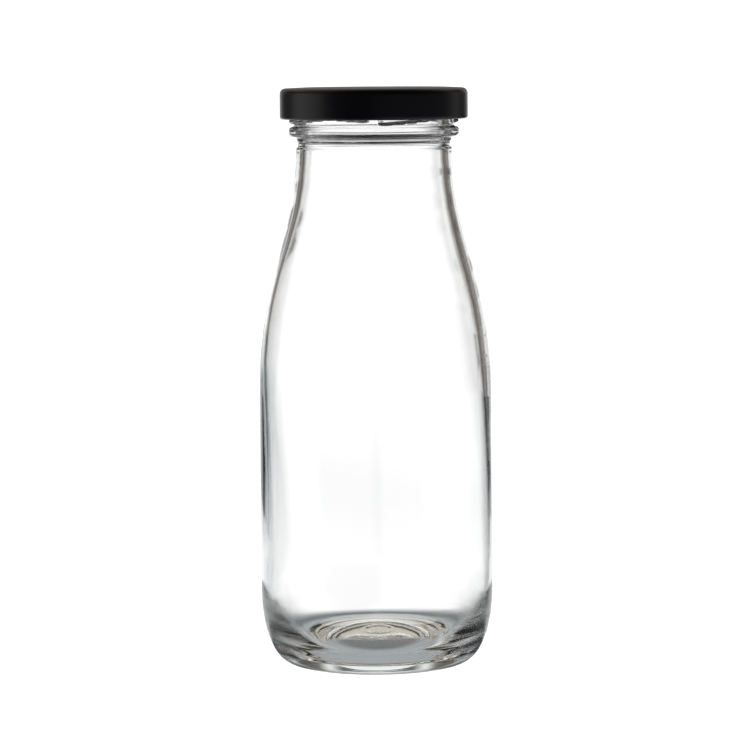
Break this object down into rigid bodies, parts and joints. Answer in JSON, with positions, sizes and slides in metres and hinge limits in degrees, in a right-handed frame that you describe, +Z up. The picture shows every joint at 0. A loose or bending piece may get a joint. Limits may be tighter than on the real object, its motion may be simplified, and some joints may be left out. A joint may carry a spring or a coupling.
{
  "type": "glass milk bottle",
  "caption": "Clear round glass bottle with a sloping shoulder, threaded finish and bead, closed by a shallow black steel lug cap with a soft sealing ring.",
  "frame": {"origin": "on the bottle's axis in the plane of its bearing ring, at the middle of the underside of the whole object", "axes": "+Z up along the axis towards the cap; the front seen in the picture faces -Y; +X to the right of that front"},
  "size_m": [0.0632, 0.0632, 0.1573],
  "materials": {
    "clear_glass": "clear soda-lime glass, moulded, very slightly green in thick places",
    "black_lacquered_steel": "thin black lacquer on tinplate, satin gloss",
    "plastisol": "soft flowed-in plastisol, matt off-white"
  },
  "bodies": {
    "glass": {"bottle": "clear_glass"},
    "seal": {"cap_seal": "plastisol"},
    "cap": {"cap_shell": "black_lacquered_steel"}
  },
  "joints": [
    {"name": "cap_lift", "type": "slide", "parent": "glass", "child": "seal", "axis": [0, 0, 1], "range_m": [0, 0.018]},
    {"name": "cap_twist", "type": "hinge", "parent": "seal", "child": "cap", "pos_m": [0, 0, 0.153], "axis": [0, 0, 1], "range_deg": [0, 540]}
  ],
  "couplings": [
    {"joint": "cap_lift", "follows": "cap_twist", "m_per_rad": 0.0019099}
  ]
}
